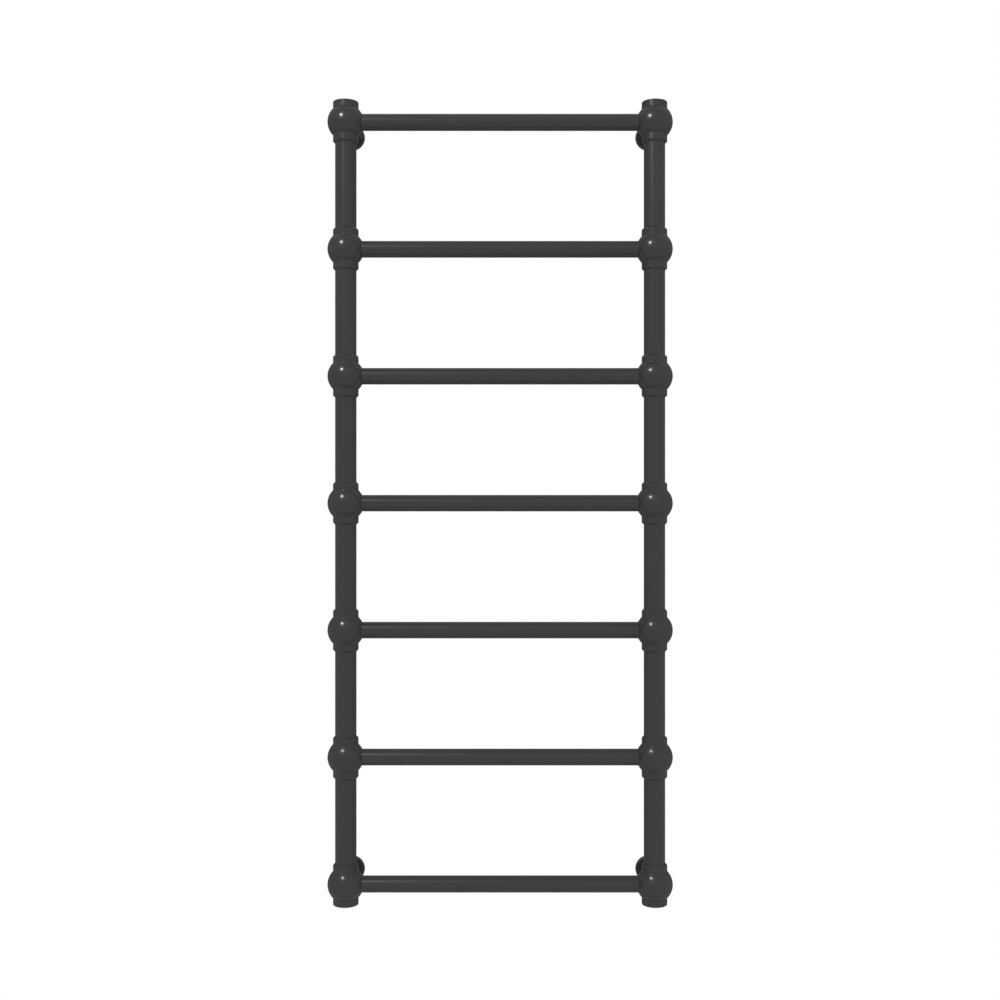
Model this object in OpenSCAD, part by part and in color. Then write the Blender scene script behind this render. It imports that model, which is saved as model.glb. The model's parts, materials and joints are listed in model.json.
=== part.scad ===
// Ball-jointed towel warmer rack, heated by the hot water that runs through it.
// Each upright is seven ball fittings with six short tubes between them, and seven rungs join
// the two uprights. Four stems stand the rack off the wall, each on a screwed flange that a
// sliding rose covers. The end fittings are a blank cap, a cap with an air bleed valve, and two
// inlet bushes that face down.
// The origin is on the wall, at the centre of the four brackets. +X is to the right seen from
// the room, +Z is up, and the rack stands on the -Y side of the wall.

/* [Rack] */
// Height from one rung's axis to the next one's
rung_pitch = 190; // [120:5:260]
// Distance between the axes of the two uprights
upright_spacing = 462; // [250:2:700]
// Distance from the wall to the axes of the uprights
wall_distance = 80; // [76:1:100]

/* [Tubes] */
// Outer diameter of the upright tubes
upright_d = 31.8; // [30:0.2:32]
// Outer diameter of the rungs
rung_d = 24.6; // [22:0.2:25.2]
// Wall thickness of every tube
tube_wall = 1.5; // [1:0.1:2]

/* [Ball fittings] */
// Diameter of the balls
ball_d = 54.5; // [53:0.5:58]
// Diameter of the collars and of the end fittings' heads
collar_d = 38; // [37.6:0.2:39]
// Distance from a ball's centre to the open end of its collars
collar_reach = 31.5; // [30:0.5:38]
// Width of the 45 degree chamfer on the open end of a collar
collar_chamfer = 2.6; // [1:0.1:2.6]
// Distance from a ball's centre to the flat face of an end fitting
end_reach = 30; // [29:0.5:36]
// Radius of the hollow in the middle of a ball
cavity_r = 16.5; // [15:0.5:17]

/* [Inlets] */
// Diameter of the inlets' tapped bore, which is the minor diameter of a G 1/2 thread
inlet_bore_d = 18.64; // [14:0.02:20]
// Length of the inlets' tapped bore
inlet_bore_length = 15; // [10:0.5:15]

/* [Wall brackets] */
// Diameter of the stems
stem_d = 18; // [17:0.5:18]
// Diameter of the cover roses
rose_d = 40; // [40:0.5:46]
// Depth of the cover roses
rose_depth = 10; // [9:0.5:14]
// Thickness of the wall flanges
flange_thickness = 4; // [3:0.5:5]
// Distance from a stem's axis to each of its flange's two screw holes
screw_offset = 12.8; // [12.6:0.1:12.9]
// Diameter of the wall screws' holes
screw_hole_d = 5.2; // [4.2:0.1:5.4]

/* [Hidden] */
$fn = 96;

rung_count = 7;
SIDES = ["left", "right"];
ENDS = ["bottom", "top"];

ANTHRACITE = [0.25, 0.255, 0.262];
BARE_STEEL = [0.62, 0.62, 0.6];
BRASS = [0.72, 0.6, 0.34];
BLACK_RUBBER = [0.06, 0.06, 0.06];

// Half the gap in a soldered joint, and the running clearance of a shaft in its hole
joint_gap = 0.05;
// Overshoot that makes a cut pass cleanly through a face
cut = 1;

ball_r = ball_d / 2;
collar_r = collar_d / 2;
upright_r = upright_d / 2;
rung_r = rung_d / 2;
// A ball's round gives way to its collar, or to a flat seat, at this height from its centre
seat_height = sqrt(ball_r * ball_r - collar_r * collar_r);

// Depth that a tube goes into a fitting, and the waterways behind its shoulder
tube_depth = 11.5;
upright_socket_floor = collar_reach - tube_depth;
upright_way_r = upright_r - 3.4;
rung_socket_floor = 17;
rung_way_r = rung_r - 1.8;

// Screwed joint between a ball and its end fitting
end_thread_r = 14;
end_thread_depth = 8;
end_edge = 0.8;
seal_section_r = 0.9;
seal_ring_r = 15.3;
seal_groove_r = 16.6;
seal_groove_depth = 1.9;
cap_hollow_r = 10;
cap_roof = 5;
inlet_lead_in = 1;
inlet_shoulder = 0.6;

// Stem: a threaded nose in the ball's back, and a socket over the flange's spigot
back_flat = ball_r - 1.7;
stem_r = stem_d / 2;
stem_nose_r = 5;
stem_nose_length = 7.5;
stem_wall_gap = 9;
spigot_r = 5.5;
spigot_end = 34;
socket_end = 37;
stem_chamfer = 0.6;
grub_r = 2.4;
grub_place = 24;
grub_hex_r = 1.45;
grub_hex_depth = 1.6;
grub_recess = 0.4;

// Rose and flange
rose_r = rose_d / 2;
rose_wall = 1.4;
rose_front = 1.6;
rose_chamfer = 1.8;
flange_r = rose_r - rose_wall - 0.4;
screw_hole_r = screw_hole_d / 2;
screw_head_r = 4.6;

// Air bleed valve: a flanged brass body in the right top cap, with a square-headed needle
valve_shank_r = 5;
valve_head_r = 7;
valve_head_height = 1.6;
valve_bottom = 21;
needle_r = 2.5;
needle_seat_r = 1.2;
needle_length = 8;
needle_square = 5;
needle_head_height = 2.6;
vent_hole_r = 0.6;

function ball_node(side, n) = str(side, "_ball_", n);
function tube_node(side, n) = str(side, "_tube_", n);
function rung_node(n) = str("rung_", n);
function bracket_node(end, side, piece) = str(end, "_", side, "_", piece);
function sign_of(side) = side == "left" ? -1 : 1;
function upright_x(side) = sign_of(side) * upright_spacing / 2;
function rung_z(n) = (n - (rung_count + 1) / 2) * rung_pitch;
function end_rung(end) = end == "top" ? rung_count : 1;

// Puts its children at the centre of a ball
module at_ball(side, n) {
    translate([upright_x(side), -wall_distance, rung_z(n)]) children();
}

// Puts its children on a bracket's axis, with their Z axis running from the wall to the room
module at_bracket(end, side) {
    translate([upright_x(side), 0, rung_z(end_rung(end))]) rotate([90, 0, 0]) children();
}

// Turns an end fitting over when it is at the bottom of its upright
module facing(end) {
    if (end == "top") children();
    else mirror([0, 0, 1]) children();
}

// A straight length of tube along Z
module tube(outer_r, length) {
    difference() {
        cylinder(r = outer_r, h = length);
        translate([0, 0, -cut]) cylinder(r = outer_r - tube_wall, h = length + 2 * cut);
    }
}

// The collar on top of a ball, chamfered at its open end
module collar() {
    cylinder(r = collar_r, h = collar_reach - collar_chamfer);
    translate([0, 0, collar_reach - collar_chamfer])
        cylinder(r1 = collar_r, r2 = collar_r - collar_chamfer, h = collar_chamfer);
}

// The socket in a collar that an upright tube is soldered into
module collar_socket() {
    cylinder(r = upright_way_r, h = collar_reach + cut);
    translate([0, 0, upright_socket_floor])
        cylinder(r = upright_r + joint_gap, h = tube_depth + cut);
}

// The flat seat on top of a corner ball, with the thread and the seal's groove for its end fitting
module end_seat_cut() {
    translate([-ball_r, -ball_r, seat_height]) cube([ball_d, ball_d, ball_r]);
    cylinder(r = upright_way_r, h = ball_r);
    translate([0, 0, seat_height - end_thread_depth])
        cylinder(r = end_thread_r + joint_gap, h = end_thread_depth + cut);
    translate([0, 0, seat_height - seal_groove_depth])
        cylinder(r = seal_groove_r, h = seal_groove_depth + cut);
}

// The flat on a corner ball's back, with the stem's tapped hole
module stem_seat_cut() {
    translate([-ball_r, back_flat, -ball_r]) cube([ball_d, ball_r, ball_d]);
    rotate([-90, 0, 0])
        translate([0, 0, back_flat - stem_nose_length - joint_gap])
            cylinder(r = stem_nose_r + joint_gap, h = stem_nose_length + cut);
}

// A hollow ball with a socket for its rung, and a collar or an end seat above and below
module ball_fitting(side, n) {
    top_end = n == rung_count;
    bottom_end = n == 1;
    color(ANTHRACITE)
        difference() {
            union() {
                sphere(r = ball_r);
                if (!top_end) collar();
                if (!bottom_end) mirror([0, 0, 1]) collar();
            }
            sphere(r = cavity_r);
            if (top_end) end_seat_cut();
            else collar_socket();
            mirror([0, 0, 1]) {
                if (bottom_end) end_seat_cut();
                else collar_socket();
            }
            rotate([0, -90 * sign_of(side), 0]) {
                cylinder(r = rung_way_r, h = ball_r);
                translate([0, 0, rung_socket_floor])
                    cylinder(r = rung_r + joint_gap, h = ball_r - rung_socket_floor + cut);
            }
            if (top_end || bottom_end) stem_seat_cut();
        }
}

// The tube between a ball and the one above it
module upright_tube() {
    color(ANTHRACITE)
        translate([0, 0, upright_socket_floor])
            tube(upright_r, rung_pitch - 2 * upright_socket_floor);
}

// The tube that joins the two uprights, along X
module rung() {
    length = upright_spacing - 2 * rung_socket_floor;
    color(ANTHRACITE)
        translate([-length / 2, 0, 0]) rotate([0, 90, 0]) tube(rung_r, length);
}

// The outside of an end fitting: a head as wide as the collars, and a threaded nose below it
module end_fitting_blank() {
    nose_end = seat_height - end_thread_depth + joint_gap;
    rotate_extrude()
        polygon([
            [0, nose_end],
            [end_thread_r, nose_end],
            [end_thread_r, seat_height],
            [collar_r, seat_height],
            [collar_r, end_reach - end_edge],
            [collar_r - end_edge, end_reach],
            [0, end_reach]
        ]);
}

// The hollow under an end cap's roof
module cap_hollow() {
    cylinder(r = cap_hollow_r, h = end_reach - cap_roof);
}

// The blank cap on top of the left upright
module blank_cap() {
    color(ANTHRACITE)
        difference() {
            end_fitting_blank();
            cap_hollow();
        }
}

// The cap on top of the right upright, drilled for the air bleed valve
module vent_cap() {
    color(ANTHRACITE)
        difference() {
            end_fitting_blank();
            cap_hollow();
            cylinder(r = valve_shank_r + joint_gap, h = end_reach + cut);
        }
}

// A bush at the bottom of an upright, tapped for the supply or the return
module inlet_bush() {
    bore_r = inlet_bore_d / 2;
    bore_floor = end_reach - inlet_lead_in - inlet_bore_length;
    color(ANTHRACITE)
        difference() {
            end_fitting_blank();
            cylinder(r = bore_r - inlet_shoulder, h = end_reach);
            translate([0, 0, bore_floor]) cylinder(r = bore_r, h = end_reach);
            translate([0, 0, end_reach - inlet_lead_in])
                cylinder(r1 = bore_r, r2 = bore_r + 2 * inlet_lead_in, h = 2 * inlet_lead_in);
        }
}

// The sealing ring under an end fitting's head
module end_seal() {
    color(BLACK_RUBBER)
        translate([0, 0, seat_height - seal_groove_depth / 2])
            rotate_extrude() translate([seal_ring_r, 0]) circle(r = seal_section_r, $fn = 32);
}

// The air valve's flanged body, with the needle's hole and a small side vent in its flange
module bleed_valve_body() {
    head_top = end_reach + valve_head_height;
    color(BRASS)
        difference() {
            union() {
                translate([0, 0, valve_bottom])
                    cylinder(r = valve_shank_r, h = end_reach - valve_bottom);
                translate([0, 0, end_reach]) cylinder(r = valve_head_r, h = valve_head_height);
            }
            translate([0, 0, valve_bottom - cut])
                cylinder(r = needle_seat_r, h = head_top);
            translate([0, 0, head_top - needle_length])
                cylinder(r = needle_r + joint_gap, h = needle_length + cut);
            translate([0, 0, end_reach + valve_head_height / 2])
                rotate([-90, 0, 0]) cylinder(r = vent_hole_r, h = valve_head_r + cut);
        }
}

// The needle that opens the air valve: a round shank with a square head for the key
module bleed_spindle() {
    head_base = end_reach + valve_head_height + 2 * joint_gap;
    color(BARE_STEEL) {
        translate([0, 0, head_base - needle_length + 4 * joint_gap])
            cylinder(r = needle_r, h = needle_length);
        translate([-needle_square / 2, -needle_square / 2, head_base])
            cube([needle_square, needle_square, needle_head_height]);
    }
}

// The stem that screws into a ball's back and slides over the flange's spigot
module bracket_stem() {
    stem_end = wall_distance - back_flat;
    color(ANTHRACITE)
        difference() {
            union() {
                translate([0, 0, stem_wall_gap])
                    cylinder(r1 = stem_r - stem_chamfer, r2 = stem_r, h = stem_chamfer);
                translate([0, 0, stem_wall_gap + stem_chamfer])
                    cylinder(r = stem_r, h = stem_end - stem_wall_gap - stem_chamfer);
                cylinder_from(stem_nose_r, stem_end - cut, stem_end + stem_nose_length);
            }
            cylinder_from(spigot_r + joint_gap, 0, socket_end);
            translate([0, 0, grub_place])
                rotate([90, 0, 0]) cylinder(r = grub_r + joint_gap, h = stem_r + cut);
        }
}

// A cylinder on the Z axis between two heights
module cylinder_from(r, low, high) {
    translate([0, 0, low]) cylinder(r = r, h = high - low);
}

// The flange that is screwed to the wall, with the spigot that carries the stem
module wall_flange() {
    color(BARE_STEEL)
        difference() {
            union() {
                cylinder(r = flange_r, h = flange_thickness);
                cylinder_from(spigot_r, flange_thickness - cut, spigot_end);
            }
            for (way = [-1, 1])
                translate([0, way * screw_offset, 0]) {
                    cylinder_from(screw_hole_r, -cut, flange_thickness + cut);
                    translate([0, 0, flange_thickness - screw_head_r + screw_hole_r])
                        cylinder(r1 = screw_hole_r, r2 = screw_head_r, h = screw_head_r - screw_hole_r);
                }
        }
}

// The cover rose: a shallow cup that slides along the stem and hides the flange
module cover_rose() {
    color(ANTHRACITE)
        difference() {
            union() {
                cylinder(r = rose_r, h = rose_depth - rose_chamfer);
                translate([0, 0, rose_depth - rose_chamfer])
                    cylinder(r1 = rose_r, r2 = rose_r - rose_chamfer, h = rose_chamfer);
            }
            cylinder_from(rose_r - rose_wall, -cut, rose_depth - rose_front - rose_wall);
            translate([0, 0, rose_depth - rose_front - rose_wall])
                cylinder(r1 = rose_r - rose_wall, r2 = rose_r - 2 * rose_wall, h = rose_wall);
            cylinder_from(stem_r + joint_gap, -cut, rose_depth + cut);
        }
}

// The screw that locks a stem on its spigot, from below, with a hexagon socket
module grub_screw() {
    far_end = stem_r - grub_recess;
    color(BARE_STEEL)
        translate([0, 0, grub_place])
            rotate([90, 0, 0])
                difference() {
                    cylinder_from(grub_r, spigot_r + joint_gap, far_end);
                    translate([0, 0, far_end - grub_hex_depth])
                        cylinder(r = grub_hex_r, h = grub_hex_depth + cut, $fn = 6);
                }
}

for (side = SIDES) {
    for (n = [1 : rung_count])
        at_ball(side, n) ball_fitting(side, n);
    for (n = [1 : rung_count - 1])
        at_ball(side, n) upright_tube();
}
for (n = [1 : rung_count])
    translate([0, -wall_distance, rung_z(n)]) rung();
at_ball("left", rung_count) blank_cap();  // left_top_cap
at_ball("right", rung_count) vent_cap();  // right_top_cap
at_ball("left", 1) facing("bottom") inlet_bush();  // left_inlet_bush
at_ball("right", 1) facing("bottom") inlet_bush();  // right_inlet_bush
for (end = ENDS) for (side = SIDES) at_ball(side, end_rung(end)) facing(end) end_seal();  // end_seals
at_ball("right", rung_count) bleed_valve_body();
at_ball("right", rung_count) bleed_spindle();
for (end = ENDS) for (side = SIDES) {
    at_bracket(end, side) bracket_stem();
    at_bracket(end, side) wall_flange();
    at_bracket(end, side) cover_rose();
}
for (end = ENDS) for (side = SIDES) at_bracket(end, side) grub_screw();  // grub_screws
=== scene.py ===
"""Looks of the ball-jointed towel warmer rack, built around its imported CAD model.

Every part that can be seen is turned again here as a fine mesh with rounded edges: the balls, the tubes,
the end fittings, the brackets and the air valve. Each stands for its CAD node and rides on that node's
body. Sizes are in metres, in the CAD model's frame: the wall is y = 0 and the room is on the -Y side.
"""

import json
import math

import bpy
from mathutils import Matrix, Vector


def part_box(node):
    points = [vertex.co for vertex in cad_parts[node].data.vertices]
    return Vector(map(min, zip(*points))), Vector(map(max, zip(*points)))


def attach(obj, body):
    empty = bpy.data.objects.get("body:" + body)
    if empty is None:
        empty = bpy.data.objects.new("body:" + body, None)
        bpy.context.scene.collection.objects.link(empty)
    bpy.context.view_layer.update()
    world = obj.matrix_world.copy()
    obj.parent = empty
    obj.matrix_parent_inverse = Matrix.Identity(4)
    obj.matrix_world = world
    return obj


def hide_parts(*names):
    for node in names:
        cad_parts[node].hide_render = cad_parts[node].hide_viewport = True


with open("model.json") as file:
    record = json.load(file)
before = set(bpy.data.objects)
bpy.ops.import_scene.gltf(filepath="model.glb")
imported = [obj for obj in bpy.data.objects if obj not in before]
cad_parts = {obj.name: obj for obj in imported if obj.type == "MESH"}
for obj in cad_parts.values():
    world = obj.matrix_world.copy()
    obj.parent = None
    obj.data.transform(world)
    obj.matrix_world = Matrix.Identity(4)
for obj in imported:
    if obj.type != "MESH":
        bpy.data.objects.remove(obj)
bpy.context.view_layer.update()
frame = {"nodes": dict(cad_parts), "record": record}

MM = 0.001
SIDES = {"left": -1, "right": 1}
ENDS = {"bottom": -1, "top": 1}
BODY_OF = {n: body for body, nodes in frame["record"]["behaviour"]["bodies"].items() for n in nodes}


# ---------------------------------------------------------------- sizes, read from the CAD model


def middle(node):
    """The centre of a CAD node's box."""
    low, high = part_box(node)
    return (low + high) / 2


def size(node):
    """The three sides of a CAD node's box."""
    low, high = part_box(node)
    return high - low


RUNG_COUNT = sum(1 for n in frame["nodes"] if n.startswith("rung_"))
RUNG_Z = [middle(f"rung_{n}").z for n in range(1, RUNG_COUNT + 1)]
UPRIGHT_X = middle("right_tube_1").x
UPRIGHT_Y = middle("right_tube_1").y
TUBE_R = size("right_tube_1").x / 2
TUBE_LENGTH = size("right_tube_1").z
RUNG_R = size("rung_1").z / 2
RUNG_LENGTH = size("rung_1").x
BALL_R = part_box("right_ball_4")[1].x - UPRIGHT_X
COLLAR_REACH = size("right_ball_4").z / 2
COLLAR_R = size("left_top_cap").x / 2
END_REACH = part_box("left_top_cap")[1].z - RUNG_Z[-1]
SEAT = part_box("left_ball_7")[1].z - RUNG_Z[-1]
BACK_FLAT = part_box("left_ball_7")[1].y - UPRIGHT_Y
STEM_R = size("top_left_stem").x / 2
STEM_START = -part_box("top_left_stem")[1].y
STEM_NOSE_END = -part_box("top_left_stem")[0].y
ROSE_R = size("top_left_rose").x / 2
ROSE_DEPTH = size("top_left_rose").y
FLANGE_R = size("top_left_wall_flange").x / 2
SPIGOT_END = size("top_left_wall_flange").y
CAP_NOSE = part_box("left_top_cap")[0].z - RUNG_Z[-1]
VALVE_HEAD_R = size("bleed_valve_body").x / 2
VALVE_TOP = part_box("bleed_valve_body")[1].z - RUNG_Z[-1]
VALVE_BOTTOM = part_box("bleed_valve_body")[0].z - RUNG_Z[-1]
NEEDLE_SQUARE = size("bleed_spindle").x
NEEDLE_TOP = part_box("bleed_spindle")[1].z - RUNG_Z[-1]
NEEDLE_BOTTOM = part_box("bleed_spindle")[0].z - RUNG_Z[-1]

# Sizes inside the parts, as the CAD model has them
TUBE_WALL = 1.5 * MM
GAP = 0.05 * MM
CHAMFER = 2.6 * MM
CAVITY_R = 16.5 * MM
WAY_R = TUBE_R - 3.4 * MM
SOCKET_FLOOR = COLLAR_REACH - 11.5 * MM
RUNG_SOCKET_FLOOR = 17 * MM
RUNG_WAY_R = RUNG_R - 1.8 * MM
NOSE_R = 14 * MM
NOSE_DEPTH = 8 * MM
GROOVE_R = 16.6 * MM
GROOVE_DEPTH = 1.9 * MM
STEM_NOSE_R = 5 * MM
STEM_HOLE_DEPTH = 7.55 * MM
SPIGOT_R = 5.5 * MM
STEM_SOCKET_END = 37 * MM
FLANGE_THICKNESS = 4 * MM
MOUTH_DEPTH = 2 * MM
MOUTH_LIP = 0.06 * MM
SCREW_OFFSET = 12.8 * MM
SCREW_HOLE_R = 2.6 * MM
SCREW_HEAD_R = 4.6 * MM
GRUB_R = 2.4 * MM
GRUB_PLACE = 24 * MM
GRUB_END = STEM_R - 0.4 * MM
GRUB_HEX_R = 1.45 * MM
GRUB_HEX_DEPTH = 1.6 * MM
ROSE_WALL = 1.4 * MM
ROSE_FRONT = 1.6 * MM
CAP_HOLLOW_R = 10 * MM
CAP_ROOF = 5 * MM
VALVE_R = 5 * MM
VALVE_SEAT_R = 1.2 * MM
VALVE_VENT_R = 0.6 * MM
NEEDLE_R = 2.5 * MM
NEEDLE_DEPTH = 8 * MM
NEEDLE_TIP = 1.4 * MM
NEEDLE_BEVEL = 0.35 * MM
INLET_DEPTH = 16 * MM
INLET_LEAD_IN = 1 * MM
INLET_SHOULDER = 0.6 * MM
THREAD_R = 9.32 * MM
THREAD_DEPTH = 1.1 * MM
THREAD_PITCH = 1.814 * MM
THREAD_RUN_OUT = 0.5 * MM


# ---------------------------------------------------------------- turning and cutting


def arc(centre, radius, start, end, steps):
    """Points of a circle's arc in a profile, as (radius, height). Angles are in degrees."""
    turn = (end - start) / steps
    angles = [math.radians(start + turn * i) for i in range(steps + 1)]
    return [(centre[0] + radius * math.cos(a), centre[1] + radius * math.sin(a)) for a in angles]


def rounded(corners, steps=5, closed=True):
    """A profile whose corners are rounded.

    A corner is (radius, height, rounding), and is sharp where the rounding is 0 or left out. Each rounding
    has a point close by on either side, so that the straight stretches shade flat.
    """
    out = []
    count = len(corners)
    for i, corner in enumerate(corners):
        here = Vector(corner[:2])
        rounding = corner[2] if len(corner) > 2 else 0
        if rounding == 0 or (not closed and i in (0, count - 1)):
            out.append(here)
            continue
        before = Vector(corners[i - 1][:2])
        after = Vector(corners[(i + 1) % count][:2])
        to_before = (before - here).normalized()
        to_after = (after - here).normalized()
        half = to_before.angle(to_after) / 2
        reach = rounding / math.tan(half)
        centre = here + (to_before + to_after).normalized() * (rounding / math.sin(half))
        first = here + to_before * reach
        last = here + to_after * reach
        a0 = math.atan2(first.y - centre.y, first.x - centre.x)
        a1 = math.atan2(last.y - centre.y, last.x - centre.x)
        turn = (a1 - a0 + math.pi) % (2 * math.pi) - math.pi
        room_before = (before - here).length - reach
        room_after = (after - here).length - reach
        margin = 0.35 * rounding
        if room_before > 3 * margin:
            out.append(first + to_before * margin)
        for k in range(steps + 1):
            a = a0 + turn * k / steps
            out.append(centre + rounding * Vector((math.cos(a), math.sin(a))))
        if room_after > 3 * margin:
            out.append(last + to_after * margin)
    return [tuple(p) for p in out]


def split_long(profile, longest, closed=True):
    """The profile with its long straight stretches divided, so that no face is a long strip."""
    out = []
    count = len(profile)
    for i, point in enumerate(profile):
        out.append(point)
        if i == count - 1 and not closed:
            break
        after = profile[(i + 1) % count]
        length = math.hypot(after[0] - point[0], after[1] - point[1])
        parts = max(1, math.ceil(length / longest))
        for k in range(1, parts):
            t = k / parts
            out.append((point[0] + (after[0] - point[0]) * t, point[1] + (after[1] - point[1]) * t))
    return out


def mesh_object(name, verts, faces):
    """A new object in the scene with that mesh, at the origin."""
    mesh = bpy.data.meshes.new(name)
    mesh.from_pydata(verts, [], faces)
    mesh.validate()
    obj = bpy.data.objects.new(name, mesh)
    bpy.context.scene.collection.objects.link(obj)
    return obj


def lathe(name, profile, segments=96, closed=True, bulge=None):
    """A solid turned about Z from a profile of (radius, height) that runs anticlockwise, outside first.

    A closed profile makes a ring. An open one starts and ends on the axis. bulge(angle, radius, height)
    may push a point in or out, as a thread does.
    """
    verts, faces, rings = [], [], []
    for radius, height in profile:
        if radius < 1e-7:
            rings.append([len(verts)] * segments)
            verts.append((0, 0, height))
            continue
        first = len(verts)
        for k in range(segments):
            a = 2 * math.pi * k / segments
            r = radius + (bulge(a, radius, height) if bulge else 0)
            verts.append((r * math.cos(a), r * math.sin(a), height))
        rings.append(list(range(first, first + segments)))
    pairs = list(zip(rings, rings[1:]))
    if closed:
        pairs.append((rings[-1], rings[0]))
    for low, high in pairs:
        for k in range(segments):
            n = (k + 1) % segments
            corners = []
            for v in (low[k], low[n], high[n], high[k]):
                if v not in corners:
                    corners.append(v)
            if len(corners) > 2:
                faces.append(corners)
    return mesh_object(name, verts, faces)


def block(name, low, high):
    """A plain box, used only as a cutter or inside a union."""
    xs, ys, zs = zip(low, high)
    verts = [(x, y, z) for z in zs for y in ys for x in xs]
    faces = [(0, 2, 3, 1), (4, 5, 7, 6), (0, 1, 5, 4), (2, 6, 7, 3), (0, 4, 6, 2), (1, 3, 7, 5)]
    return mesh_object(name, verts, faces)


def rod(name, radius, start, end, segments=64):
    """A plain round bar about Z, used only as a cutter or inside a union."""
    return lathe(name, [(0, start), (radius, start), (radius, end), (0, end)], segments, closed=False)


def place(obj, matrix):
    """Moves an object's mesh itself, so that the object stays at the origin."""
    obj.data.transform(matrix)
    if matrix.determinant() < 0:
        obj.data.flip_normals()
    return obj


def combine(obj, others, operation="DIFFERENCE"):
    """Cuts the other objects from this one, or joins them to it, and deletes them."""
    for other in others:
        boolean = obj.modifiers.new("cut", "BOOLEAN")
        boolean.operation = operation
        boolean.solver = "EXACT"
        boolean.object = other
        bpy.context.view_layer.update()
        evaluated = obj.evaluated_get(bpy.context.evaluated_depsgraph_get())
        result = bpy.data.meshes.new_from_object(evaluated)
        obj.modifiers.clear()
        spent = obj.data
        obj.data = result
        bpy.data.meshes.remove(spent)
        spent = other.data
        bpy.data.objects.remove(other)
        bpy.data.meshes.remove(spent)
    return obj


def copy_of(obj, name, matrix):
    """Another object with a moved copy of the same mesh."""
    twin = bpy.data.objects.new(name, obj.data.copy())
    bpy.context.scene.collection.objects.link(twin)
    return place(twin, matrix)


def join(name, parts):
    """One object from several, keeping their meshes apart as separate shells."""
    verts, faces = [], []
    for part in parts:
        first = len(verts)
        verts += [tuple(v.co) for v in part.data.vertices]
        faces += [[first + v for v in p.vertices] for p in part.data.polygons]
        spent = part.data
        bpy.data.objects.remove(part)
        bpy.data.meshes.remove(spent)
    return mesh_object(name, verts, faces)


def fit(obj, node, material, sharp=32):
    """Smooths a piece, gives it its material and puts it in its CAD node's place."""
    mesh = obj.data
    mesh.shade_smooth()
    mesh.set_sharp_from_angle(angle=math.radians(sharp))
    mesh.materials.clear()
    mesh.materials.append(material)
    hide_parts(node)
    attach(obj, BODY_OF[node])
    return obj


# ---------------------------------------------------------------- materials


# A noise's values lie mostly in this span
NOISE_SPAN = (0.3, 0.7)
# How far a bare metal's roughness strays to either side
GLOSS_SPREAD = 0.05


class Nodes:
    """A material's node tree, with short calls for the nodes that the coats share."""

    def __init__(self, name):
        self.material = bpy.data.materials.new(name)
        self.material.use_nodes = True
        self.tree = self.material.node_tree
        self.shader = self.tree.nodes["Principled BSDF"]
        self.place = self.tree.nodes.new("ShaderNodeTexCoord").outputs["Object"]

    def link(self, a, b):
        self.tree.links.new(a, b)

    def noise(self, scale, detail=3.0, roughness=0.5):
        node = self.tree.nodes.new("ShaderNodeTexNoise")
        node.inputs["Scale"].default_value = scale
        node.inputs["Detail"].default_value = detail
        node.inputs["Roughness"].default_value = roughness
        self.link(self.place, node.inputs["Vector"])
        return node.outputs["Fac"]

    def ramp(self, source, low, high):
        """Spreads a noise's usual span over low to high."""
        node = self.tree.nodes.new("ShaderNodeMapRange")
        node.inputs["From Min"].default_value = NOISE_SPAN[0]
        node.inputs["From Max"].default_value = NOISE_SPAN[1]
        node.inputs["To Min"].default_value = low
        node.inputs["To Max"].default_value = high
        self.link(source, node.inputs["Value"])
        return node.outputs["Result"]

    def mix(self, fac, a, b, kind="MIX"):
        node = self.tree.nodes.new("ShaderNodeMix")
        node.data_type = "RGBA"
        node.blend_type = kind
        for value, socket in ((fac, node.inputs[0]), (a, node.inputs[6]), (b, node.inputs[7])):
            if isinstance(value, bpy.types.NodeSocket):
                self.link(value, socket)
            else:
                socket.default_value = value
        return node.outputs[2]

    def bump(self, height, distance, normal=None):
        node = self.tree.nodes.new("ShaderNodeBump")
        node.inputs["Strength"].default_value = 1.0
        node.inputs["Distance"].default_value = distance
        self.link(height, node.inputs["Height"])
        if normal:
            self.link(normal, node.inputs["Normal"])
        return node.outputs["Normal"]


def srgb(r, g, b):
    """A colour given as 8-bit sRGB, in the linear values that the shader takes."""
    def linear(c):
        c = c / 255
        return c / 12.92 if c <= 0.04045 else ((c + 0.055) / 1.055) ** 2.4
    return (linear(r), linear(g), linear(b), 1)


def powder_coat():
    """Anthracite powder coat: a satin film with a fine orange peel, slightly uneven in tone and gloss."""
    n = Nodes("anthracite_powder_coat")
    clouds = n.noise(9, 4, 0.55)
    grain = n.noise(900, 2, 0.6)
    base = n.mix(n.ramp(clouds, 0, 1), srgb(59.3, 62, 63.3), srgb(63.3, 66, 67.3))
    specks = n.mix(n.ramp(grain, 0, 1), (0.95, 0.95, 0.95, 1), (1.05, 1.05, 1.05, 1))
    n.link(n.mix(1.0, base, specks, "MULTIPLY"), n.shader.inputs["Base Color"])
    n.link(n.ramp(n.noise(14, 3, 0.5), 0.225, 0.255), n.shader.inputs["Roughness"])
    peel = n.bump(n.noise(420, 1.5, 0.4), 0.000012)
    n.link(n.bump(grain, 0.0000025, normal=peel), n.shader.inputs["Normal"])
    n.shader.inputs["IOR"].default_value = 1.5
    return n.material


def metal(name, colour, roughness):
    """Bare metal with fine machining or plating marks, and uneven gloss."""
    n = Nodes(name)
    n.shader.inputs["Metallic"].default_value = 1.0
    shade = [c * 0.82 for c in colour[:3]] + [1]
    n.link(n.mix(n.ramp(n.noise(160, 4, 0.6), 0, 1), shade, colour), n.shader.inputs["Base Color"])
    gloss = n.ramp(n.noise(70, 4, 0.6), roughness - GLOSS_SPREAD, roughness + GLOSS_SPREAD)
    n.link(gloss, n.shader.inputs["Roughness"])
    n.link(n.bump(n.noise(1400, 3, 0.6), 0.000006), n.shader.inputs["Normal"])
    return n.material


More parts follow.
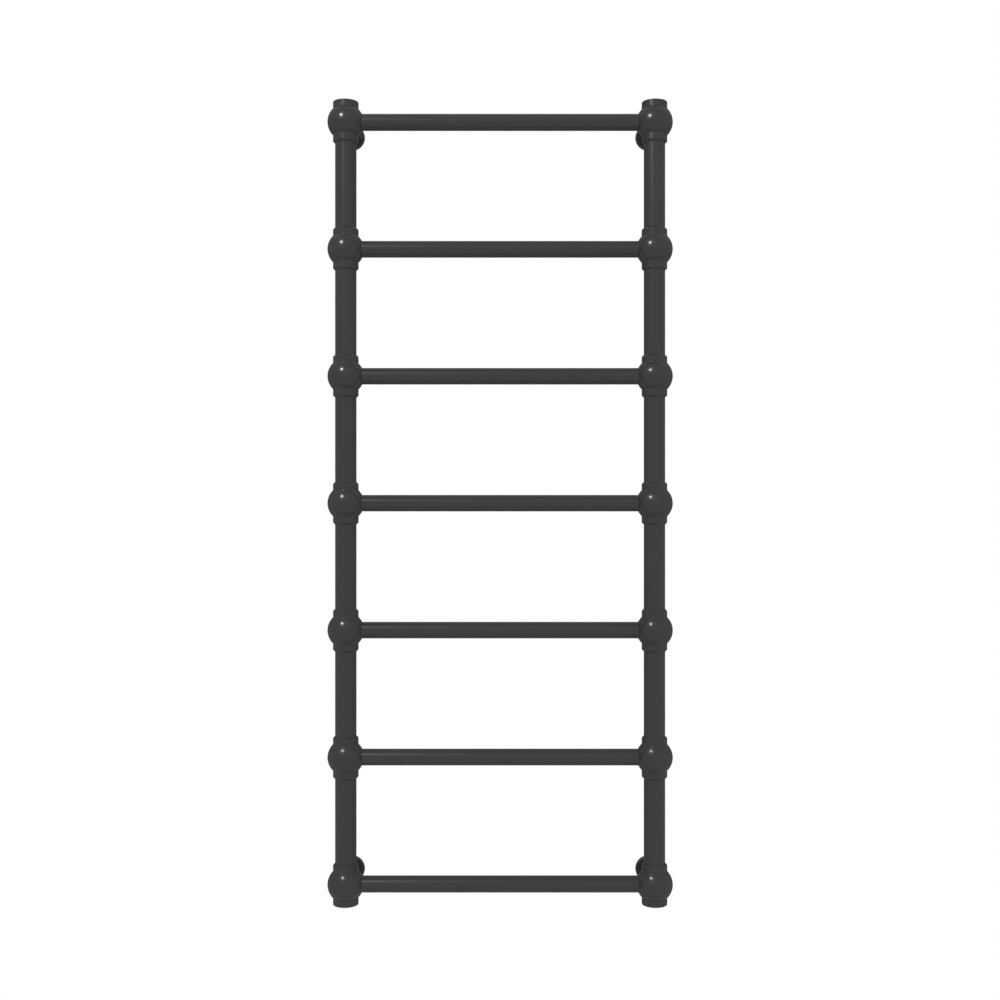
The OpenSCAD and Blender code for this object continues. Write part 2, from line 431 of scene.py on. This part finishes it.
def rubber():
    """Matte black sealing rubber with a slight mould texture."""
    n = Nodes("black_seal_rubber")
    base = n.mix(n.ramp(n.noise(300, 3), 0, 1), srgb(24, 24, 24), srgb(34, 34, 33))
    n.link(base, n.shader.inputs["Base Color"])
    n.link(n.ramp(n.noise(500, 2), 0.62, 0.78), n.shader.inputs["Roughness"])
    n.link(n.bump(n.noise(1800, 2), 0.00001), n.shader.inputs["Normal"])
    return n.material


COAT = powder_coat()
ZINC = metal("bright_zinc", (0.62, 0.62, 0.58, 1), 0.32)
NICKEL = metal("nickel_plate", (0.66, 0.63, 0.56, 1), 0.22)
STEEL = metal("turned_steel", (0.6, 0.6, 0.59, 1), 0.28)
BLACK_STEEL = metal("black_oxide", (0.06, 0.06, 0.062, 1), 0.4)
RUBBER = rubber()


# ---------------------------------------------------------------- balls, tubes and rungs


def collar_end(up):
    """The corners of a collar from its socket's mouth to its foot on the ball, for a profile."""
    lip = COLLAR_R - CHAMFER - MOUTH_LIP
    return [
        (TUBE_R + GAP, up * (COLLAR_REACH - MOUTH_DEPTH), 0.1 * MM),
        (lip, up * (COLLAR_REACH - MOUTH_DEPTH), 0.1 * MM),
        (lip, up * COLLAR_REACH, 0.03 * MM),
        (COLLAR_R - CHAMFER, up * COLLAR_REACH, 0.04 * MM),
        (COLLAR_R, up * (COLLAR_REACH - CHAMFER), 0.35 * MM),
        (COLLAR_R, up * SEAT, 0.7 * MM),
    ]


def socket_wall(up):
    """The corners of a collar's socket, from its mouth inwards to the waterway, after the mouth."""
    return [
        (TUBE_R + GAP, up * SOCKET_FLOOR, 0.3 * MM),
        (WAY_R, up * SOCKET_FLOOR, 0.3 * MM),
    ]


def seat_wall(up):
    """The corners of an end seat, from the ball's rim inwards to the waterway."""
    return [
        (COLLAR_R, up * SEAT, 0.25 * MM),
        (GROOVE_R, up * SEAT, 0.2 * MM),
        (GROOVE_R, up * (SEAT - GROOVE_DEPTH), 0.2 * MM),
        (NOSE_R + GAP, up * (SEAT - GROOVE_DEPTH), 0.1 * MM),
        (NOSE_R + GAP, up * (SEAT - NOSE_DEPTH), 0.1 * MM),
        (WAY_R, up * (SEAT - NOSE_DEPTH), 0.1 * MM),
    ]


def ball(name, open_top):
    """A ball about its own centre, with its rung on +X.

    An open top has a seat for an end fitting in place of a collar. The ball then has a stem's flat too.
    """
    crease = math.degrees(math.asin(SEAT / BALL_R))
    inner = math.degrees(math.acos(WAY_R / CAVITY_R))
    outer_arc = arc((0, 0), BALL_R, -crease + 3, crease - 3, 40)
    inner_arc = arc((0, 0), CAVITY_R, inner, -inner, 16)
    lower = [*reversed(socket_wall(-1)), *collar_end(-1)]
    upper = seat_wall(1) if open_top else [*reversed(collar_end(1)), *socket_wall(1)]
    profile = rounded([*lower, *outer_arc, *upper, *inner_arc])
    obj = lathe(name, profile, 128)
    to_rung = Matrix.Rotation(math.radians(90), 4, "Y")
    cuts = [
        place(rod("way", RUNG_WAY_R, 0, RUNG_SOCKET_FLOOR + GAP, 96), to_rung),
        place(rod("socket", RUNG_R + GAP, RUNG_SOCKET_FLOOR, BALL_R + 3 * MM, 96), to_rung),
    ]
    if open_top:
        to_wall = Matrix.Rotation(math.radians(-90), 4, "X")
        cuts.append(block("flat", (-BALL_R, BACK_FLAT, -BALL_R), (BALL_R, 2 * BALL_R, BALL_R)))
        stem_hole = rod("stem_hole", STEM_NOSE_R + GAP, BACK_FLAT - STEM_HOLE_DEPTH, BALL_R)
        cuts.append(place(stem_hole, to_wall))
    return combine(obj, cuts)


def tube(name, radius, length):
    """A straight tube about Z, centred on the origin, with softened ends."""
    half = length / 2
    inner = radius - TUBE_WALL
    corners = [
        (radius, -half, 0.4 * MM),
        (radius, half, 0.4 * MM),
        (inner, half, 0.3 * MM),
        (inner, -half, 0.3 * MM),
    ]
    return lathe(name, split_long(rounded(corners, 3), 24 * MM), 96)


def build_ladder():
    """The two uprights and the rungs."""
    plain = ball("plain_ball", open_top=False)
    corner = ball("corner_ball", open_top=True)
    upright = tube("upright", TUBE_R, TUBE_LENGTH)
    bar = tube("bar", RUNG_R, RUNG_LENGTH)
    for side, way in SIDES.items():
        x = way * UPRIGHT_X
        for n, z in enumerate(RUNG_Z, 1):
            node = f"{side}_ball_{n}"
            source = corner if n in (1, RUNG_COUNT) else plain
            flips = Matrix.Diagonal((-way, 1, -1 if n == 1 else 1, 1))
            at = Matrix.Translation((x, UPRIGHT_Y, z)) @ flips
            fit(copy_of(source, f"{node}_casting", at), node, COAT)
        for n in range(1, RUNG_COUNT):
            node = f"{side}_tube_{n}"
            at = Matrix.Translation((x, UPRIGHT_Y, (RUNG_Z[n - 1] + RUNG_Z[n]) / 2))
            fit(copy_of(upright, f"{node}_pipe", at), node, COAT)
    along = Matrix.Rotation(math.radians(90), 4, "Y")
    for n, z in enumerate(RUNG_Z, 1):
        node = f"rung_{n}"
        at = Matrix.Translation((0, UPRIGHT_Y, z)) @ along
        fit(copy_of(bar, f"{node}_pipe", at), node, COAT)
    for master in (plain, corner, upright, bar):
        bpy.data.objects.remove(master)


# ---------------------------------------------------------------- end fittings and air valve


def end_fitting(name, hole_r=0.0, bore=False):
    """A blank cap, a drilled cap or a threaded inlet bush.

    Its flat face is up, and the ball's centre is at z = 0.
    """
    outside = [
        (NOSE_R, CAP_NOSE, 0.6 * MM),
        (NOSE_R, SEAT, 0.1 * MM),
        (COLLAR_R, SEAT, 0.3 * MM),
        (COLLAR_R, END_REACH, 1.0 * MM),
    ]
    if bore:
        floor = END_REACH - INLET_DEPTH
        thread_low = floor + THREAD_RUN_OUT
        thread_high = END_REACH - 0.9 * INLET_LEAD_IN
        inside = [
            (THREAD_R + INLET_LEAD_IN, END_REACH, 0.2 * MM),
            (THREAD_R, END_REACH - INLET_LEAD_IN, 0.1 * MM),
            (THREAD_R, floor, 0.1 * MM),
            (THREAD_R - INLET_SHOULDER, floor, 0.2 * MM),
            (THREAD_R - INLET_SHOULDER, CAP_NOSE, 0.2 * MM),
        ]
        profile = split_long(rounded([*outside, *inside]), THREAD_PITCH / 8)

        def thread(angle, radius, height):
            """How far a point of the bore lies in the thread's groove."""
            if abs(radius - THREAD_R) > 0.02 * MM or not thread_low < height < thread_high:
                return 0
            phase = (height / THREAD_PITCH - angle / (2 * math.pi)) % 1
            slope = 1 - abs(2 * phase - 1)
            ends = min(height - thread_low, thread_high - height) / THREAD_PITCH
            return THREAD_DEPTH * min(1, max(0, 1.35 * slope - 0.15)) * min(1, max(0, ends * 1.2))

        return lathe(name, profile, 128, bulge=thread)
    roof = END_REACH - CAP_ROOF
    if hole_r:
        inside = [
            (hole_r, END_REACH, 0.3 * MM),
            (hole_r, roof, 0.2 * MM),
            (CAP_HOLLOW_R, roof, 0.5 * MM),
            (CAP_HOLLOW_R, CAP_NOSE, 0.3 * MM),
        ]
        return lathe(name, rounded([*outside, *inside]), 128)
    corners = [
        (0, roof, 0),
        (CAP_HOLLOW_R, roof, 0.5 * MM),
        (CAP_HOLLOW_R, CAP_NOSE, 0.3 * MM),
        *outside,
        (0, END_REACH, 0),
    ]
    return lathe(name, rounded(corners, closed=False), 128, closed=False)


def valve_body(name):
    """The air valve's flanged body, with a side vent towards the wall."""
    hole = NEEDLE_R + GAP
    floor = VALVE_TOP - NEEDLE_DEPTH
    corners = [
        (VALVE_R, VALVE_BOTTOM, 0.4 * MM),
        (VALVE_R, END_REACH, 0.1 * MM),
        (VALVE_HEAD_R, END_REACH, 0.15 * MM),
        (VALVE_HEAD_R, VALVE_TOP, 0.45 * MM),
        (hole + 0.5 * MM, VALVE_TOP, 0.15 * MM),
        (hole, VALVE_TOP - 0.5 * MM, 0.15 * MM),
        (hole, floor, 0.1 * MM),
        (VALVE_SEAT_R, floor, 0.1 * MM),
        (VALVE_SEAT_R, VALVE_BOTTOM, 0.2 * MM),
    ]
    obj = lathe(name, rounded(corners, 4), 96)
    vent = rod("vent", VALVE_VENT_R, hole - 0.5 * MM, VALVE_HEAD_R + 1 * MM, 24)
    up = Matrix.Translation((0, 0, (END_REACH + VALVE_TOP) / 2))
    place(vent, up @ Matrix.Rotation(math.radians(-90), 4, "X"))
    return combine(obj, [vent])


def needle(name):
    """The air valve's needle: a round shank with a bevelled square head."""
    half = NEEDLE_SQUARE / 2
    base = VALVE_TOP + 2 * GAP
    head = block(name, (-half, -half, base), (half, half, NEEDLE_TOP))
    bevel = head.modifiers.new("edges", "BEVEL")
    bevel.width = NEEDLE_BEVEL
    bevel.segments = 4
    bpy.context.view_layer.update()
    spent = head.data
    bevelled = head.evaluated_get(bpy.context.evaluated_depsgraph_get())
    head.data = bpy.data.meshes.new_from_object(bevelled)
    head.modifiers.clear()
    bpy.data.meshes.remove(spent)
    shank_top = base + 0.6 * MM
    corners = [
        (0, NEEDLE_BOTTOM, 0),
        (NEEDLE_R * 0.45, NEEDLE_BOTTOM, 0.2 * MM),
        (NEEDLE_R, NEEDLE_BOTTOM + NEEDLE_TIP, 0.3 * MM),
        (NEEDLE_R, shank_top, 0),
        (0, shank_top, 0),
    ]
    shank = lathe("shank", rounded(corners, 4, closed=False), 64, closed=False)
    return combine(head, [shank], "UNION")


def build_end_fittings():
    """The caps, the inlet bushes and the air valve."""
    upside_down = Matrix.Diagonal((1, 1, -1, 1))
    for side, way in SIDES.items():
        top = Matrix.Translation((way * UPRIGHT_X, UPRIGHT_Y, RUNG_Z[-1]))
        foot = Matrix.Translation((way * UPRIGHT_X, UPRIGHT_Y, RUNG_Z[0])) @ upside_down
        node = f"{side}_top_cap"
        hole = VALVE_R + GAP if side == "right" else 0.0
        fit(place(end_fitting(f"{node}_turned", hole_r=hole), top), node, COAT)
        node = f"{side}_inlet_bush"
        fit(place(end_fitting(f"{node}_turned", bore=True), foot), node, COAT)
    top = Matrix.Translation((UPRIGHT_X, UPRIGHT_Y, RUNG_Z[-1]))
    fit(place(valve_body("bleed_valve_body_turned"), top), "bleed_valve_body", NICKEL)
    fit(place(needle("bleed_spindle_turned"), top), "bleed_spindle", STEEL)


# ---------------------------------------------------------------- wall brackets


def stem(name):
    """A stem about Z, which runs from the wall to the room, with its socket and the grub screw's hole."""
    shoulder = -UPRIGHT_Y - BACK_FLAT
    bore = SPIGOT_R + GAP
    corners = [
        (bore, STEM_START, 0.3 * MM),
        (STEM_R, STEM_START, 0.7 * MM),
        (STEM_R, shoulder, 0.4 * MM),
        (STEM_NOSE_R, shoulder, 0.2 * MM),
        (STEM_NOSE_R, STEM_NOSE_END, 0.6 * MM),
        (0, STEM_NOSE_END, 0),
    ]
    inside = [(0, STEM_SOCKET_END, 0), (bore, STEM_SOCKET_END, 0.5 * MM)]
    profile = split_long(rounded([*inside, *corners], closed=False), 8 * MM, closed=False)
    obj = lathe(name, profile, 96, closed=False)
    grub_hole = rod("grub_hole", GRUB_R + GAP, SPIGOT_R - 1 * MM, STEM_R + 1 * MM, 48)
    down = Matrix.Translation((0, 0, GRUB_PLACE)) @ Matrix.Rotation(math.radians(90), 4, "X")
    return combine(obj, [place(grub_hole, down)])


def flange(name):
    """A wall flange about Z with its spigot and two countersunk screw holes."""
    corners = [
        (0, 0, 0),
        (FLANGE_R, 0, 0.3 * MM),
        (FLANGE_R, FLANGE_THICKNESS, 0.5 * MM),
        (SPIGOT_R, FLANGE_THICKNESS, 0.8 * MM),
        (SPIGOT_R, SPIGOT_END, 0.7 * MM),
        (0, SPIGOT_END, 0),
    ]
    obj = lathe(name, split_long(rounded(corners, closed=False), 8 * MM, closed=False), 96, closed=False)
    sink = SCREW_HEAD_R - SCREW_HOLE_R
    cuts = []
    hole = [
        (0, -MM),
        (SCREW_HOLE_R, -MM),
        (SCREW_HOLE_R, FLANGE_THICKNESS - sink),
        (SCREW_HEAD_R, FLANGE_THICKNESS),
        (SCREW_HEAD_R + MM, FLANGE_THICKNESS + MM),
        (0, FLANGE_THICKNESS + MM),
    ]
    for way in (-1, 1):
        cutter = lathe("screw_hole", hole, 64, closed=False)
        cuts.append(place(cutter, Matrix.Translation((0, way * SCREW_OFFSET, 0))))
    return combine(obj, cuts)


def rose(name):
    """A cover rose about Z: a shallow cup with a rounded front edge and a hole for the stem."""
    inner = ROSE_R - ROSE_WALL
    ceiling = ROSE_DEPTH - ROSE_FRONT
    hole = STEM_R + GAP
    corners = [
        (inner, 0, 0.3 * MM),
        (ROSE_R, 0, 0.3 * MM),
        (ROSE_R, ROSE_DEPTH, 1.4 * MM),
        (hole, ROSE_DEPTH, 0.4 * MM),
        (hole, ceiling, 0.3 * MM),
        (inner, ceiling, 1.8 * MM),
    ]
    return lathe(name, rounded(corners, 8), 128)


def grub_screw(name):
    """A grub screw about Z with a hexagon socket."""
    corners = [
        (0, SPIGOT_R + GAP, 0),
        (GRUB_R, SPIGOT_R + GAP, 0.3 * MM),
        (GRUB_R, GRUB_END, 0.3 * MM),
        (0, GRUB_END, 0),
    ]
    obj = lathe(name, rounded(corners, 3, closed=False), 48, closed=False)
    return combine(obj, [rod("hex", GRUB_HEX_R, GRUB_END - GRUB_HEX_DEPTH, GRUB_END + MM, 6)])


def build_brackets():
    """The four brackets, each from one set of parts."""
    masters = {"stem": stem("stem"), "wall_flange": flange("flange"), "rose": rose("rose")}
    coats = {"stem": COAT, "wall_flange": ZINC, "rose": COAT}
    screw = grub_screw("grub")
    screws = []
    to_room = Matrix.Rotation(math.radians(90), 4, "X")
    down = Matrix.Translation((0, 0, GRUB_PLACE)) @ Matrix.Rotation(math.radians(90), 4, "X")
    for end in ENDS:
        z = RUNG_Z[-1] if end == "top" else RUNG_Z[0]
        for side, way in SIDES.items():
            at = Matrix.Translation((way * UPRIGHT_X, 0, z)) @ to_room
            for part, master in masters.items():
                node = f"{end}_{side}_{part}"
                fit(copy_of(master, f"{node}_turned", at), node, coats[part])
            screws.append(copy_of(screw, f"grub_{end}_{side}", at @ down))
    fit(join("grub_screws_set", screws), "grub_screws", BLACK_STEEL)
    for master in [*masters.values(), screw]:
        bpy.data.objects.remove(master)


build_ladder()
build_end_fittings()
build_brackets()
# Only the end seals aren't replaced, so theirs is the one CAD mesh that is seen
for node, obj in frame["nodes"].items():
    obj.data.materials.clear()
    obj.data.materials.append(RUBBER if node == "end_seals" else COAT)


# ---------------------------------------------------------------- floor, light and camera

# The camera stands level, in front of the middle rung and a few millimetres above it
CAMERA_PLACE = (-0.0002, UPRIGHT_Y - 1.8413, 0.0048)
CAMERA_LENS = 44.28
FLOOR_DROP = 1.9
FLOOR_HALF = 30
KEY_PLACE = (-0.927, UPRIGHT_Y - 1.554, 1.606)
KEY_RADIUS = 0.03
KEY_POWER = 80
ROOM = 0.431


def heading(azimuth, elevation):
    """A unit vector from two angles in degrees.

    Azimuth 0 points from the rack to the camera, and 90 to the rack's +X side.
    """
    a, e = math.radians(azimuth), math.radians(elevation)
    return (math.sin(a) * math.cos(e), -math.cos(a) * math.cos(e), math.sin(e))


# The soft boxes: azimuth and elevation, the angles from the box's middle at which it ends and is full, and
# its strength. One off to a side has a twin on the other side. The last one darkens the room's back.
SOFT_BOXES = [
    (0, 28, 38, 6, 0.195),
    (40, 28, 38, 6, 0.142),
    (80, 28, 38, 6, 0.029),
    (0, -30, 38, 6, 0.135),
    (40, -30, 38, 6, 0.075),
    (25, -2, 30, 4, 0.048),
    (50, -2, 30, 4, 0.044),
    (75, -2, 30, 4, 0.084),
    (180, 75, 58, 16, 0.122),
    (180, 0, 74, 44, -0.262),
]


def build_camera():
    """A level camera that looks along +Y."""
    data = bpy.data.cameras.new("camera")
    data.lens = CAMERA_LENS
    data.sensor_width = 36
    camera = bpy.data.objects.new("camera", data)
    camera.location = CAMERA_PLACE
    camera.rotation_euler = (math.radians(90), 0, 0)
    bpy.context.scene.collection.objects.link(camera)
    bpy.context.scene.camera = camera


def build_world():
    """White to the camera, and a pale room with soft boxes to everything else."""
    world = bpy.data.worlds.new("studio")
    bpy.context.scene.world = world
    world.use_nodes = True
    tree = world.node_tree
    tree.nodes.clear()

    def add(kind, **settings):
        node = tree.nodes.new(kind)
        for key, value in settings.items():
            setattr(node, key, value)
        return node

    way = add("ShaderNodeTexCoord").outputs["Generated"]
    total = None
    for azimuth, elevation, end, full, strength in SOFT_BOXES:
        for side in (azimuth, -azimuth) if azimuth % 180 else (azimuth,):
            facing = add("ShaderNodeVectorMath", operation="DOT_PRODUCT")
            facing.inputs[1].default_value = heading(side, elevation)
            tree.links.new(way, facing.inputs[0])
            fade = add("ShaderNodeMapRange", interpolation_type="SMOOTHSTEP")
            fade.inputs["From Min"].default_value = math.cos(math.radians(end))
            fade.inputs["From Max"].default_value = math.cos(math.radians(full))
            fade.inputs["To Max"].default_value = strength
            tree.links.new(facing.outputs["Value"], fade.inputs["Value"])
            summed = add("ShaderNodeMath", operation="ADD")
            summed.inputs[1].default_value = ROOM
            tree.links.new(fade.outputs["Result"], summed.inputs[0])
            if total:
                tree.links.new(total, summed.inputs[1])
            total = summed.outputs["Value"]

    room = add("ShaderNodeBackground")
    white = add("ShaderNodeBackground")
    for node in (room, white):
        node.inputs["Color"].default_value = (1, 1, 1, 1)
    tree.links.new(total, room.inputs["Strength"])
    seen = add("ShaderNodeMixShader")
    tree.links.new(add("ShaderNodeLightPath").outputs["Is Camera Ray"], seen.inputs["Fac"])
    tree.links.new(room.outputs["Background"], seen.inputs[1])
    tree.links.new(white.outputs["Background"], seen.inputs[2])
    tree.links.new(seen.outputs["Shader"], add("ShaderNodeOutputWorld").inputs["Surface"])


def build_key():
    """The small lamp up on the left that puts a bright dot on every ball."""
    data = bpy.data.lights.new("key", "POINT")
    data.energy = KEY_POWER
    data.shadow_soft_size = KEY_RADIUS
    lamp = bpy.data.objects.new("key", data)
    lamp.location = KEY_PLACE
    lamp.visible_diffuse = False
    bpy.context.scene.collection.objects.link(lamp)


def build_floor():
    """A plain white floor far below the rack."""
    f = FLOOR_HALF
    floor = mesh_object("floor", [(-f, -f, 0), (f, -f, 0), (f, f, 0), (-f, f, 0)], [(0, 1, 2, 3)])
    floor.location.z = -FLOOR_DROP
    material = bpy.data.materials.new("white_floor")
    material.use_nodes = True
    shader = material.node_tree.nodes["Principled BSDF"]
    shader.inputs["Base Color"].default_value = (0, 0, 0, 1)
    shader.inputs["Specular IOR Level"].default_value = 0
    shader.inputs["Emission Color"].default_value = (1, 1, 1, 1)
    shader.inputs["Emission Strength"].default_value = 1
    floor.data.materials.append(material)
    floor.visible_diffuse = False
    floor.visible_glossy = False


build_camera()
build_world()
build_key()
build_floor()
bpy.context.scene.view_settings.view_transform = "Standard"
